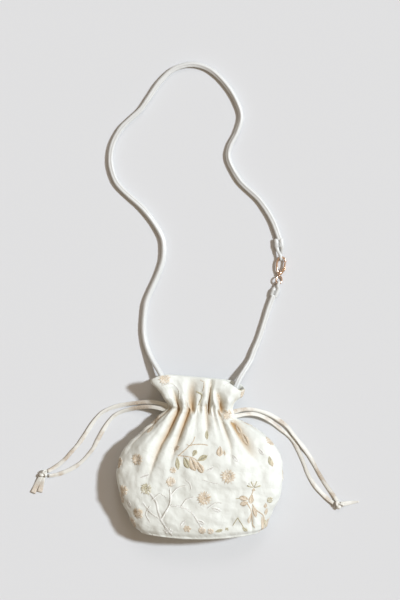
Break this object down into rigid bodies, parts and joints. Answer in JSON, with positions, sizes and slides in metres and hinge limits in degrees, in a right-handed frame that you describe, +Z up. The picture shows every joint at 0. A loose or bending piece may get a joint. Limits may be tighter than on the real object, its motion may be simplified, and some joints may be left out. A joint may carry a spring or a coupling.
{
  "type": "reticule handbag",
  "caption": "Small gathered drawstring bag lying on its back, with frilled mouth, knotted drawstrings and a rolled cord strap closed by a swivel snap hook.",
  "frame": {"origin": "on the flattened back that the bag lies on, under the middle of its body", "axes": "+X to the right of the lying bag, +Y from its base to its mouth, +Z up from the surface it lies on"},
  "size_m": [0.3774, 0.5461, 0.048],
  "materials": {
    "bag_cloth": "embroidered ivory satin",
    "strap_satin": "rolled ivory satin",
    "drawstring_cloth": "folded ivory satin strip",
    "clasp_metal": "polished pale gold plate"
  },
  "bodies": {
    "bag": {"pouch_cloth": "bag_cloth", "base_panel": "bag_cloth", "strap_long": "strap_satin", "strap_short": "strap_satin", "strap_end_long": "strap_satin", "strap_end_short": "strap_satin", "drawstring_left_outer": "drawstring_cloth", "drawstring_left_inner": "drawstring_cloth", "drawstring_right_upper": "drawstring_cloth", "drawstring_right_lower": "drawstring_cloth", "knot_left": "drawstring_cloth", "knot_right": "drawstring_cloth", "swivel_eye": "clasp_metal"},
    "hook": {"hook_body": "clasp_metal"},
    "gate": {"hook_gate": "clasp_metal"}
  },
  "joints": [
    {"name": "hook_swivel", "type": "hinge", "parent": "bag", "child": "hook", "pos_m": [0.0924, 0.2096, 0.0039], "axis": [0.1219, 0.9925, 0], "range_deg": [-12, 12]},
    {"name": "gate_hinge", "type": "hinge", "parent": "hook", "child": "gate", "pos_m": [0.09664, 0.21381, 0.0039], "axis": [0, 0, 1], "range_deg": [0, 24], "stiffness_Nm_per_rad": 0.01, "springref_deg": -17.19}
  ]
}
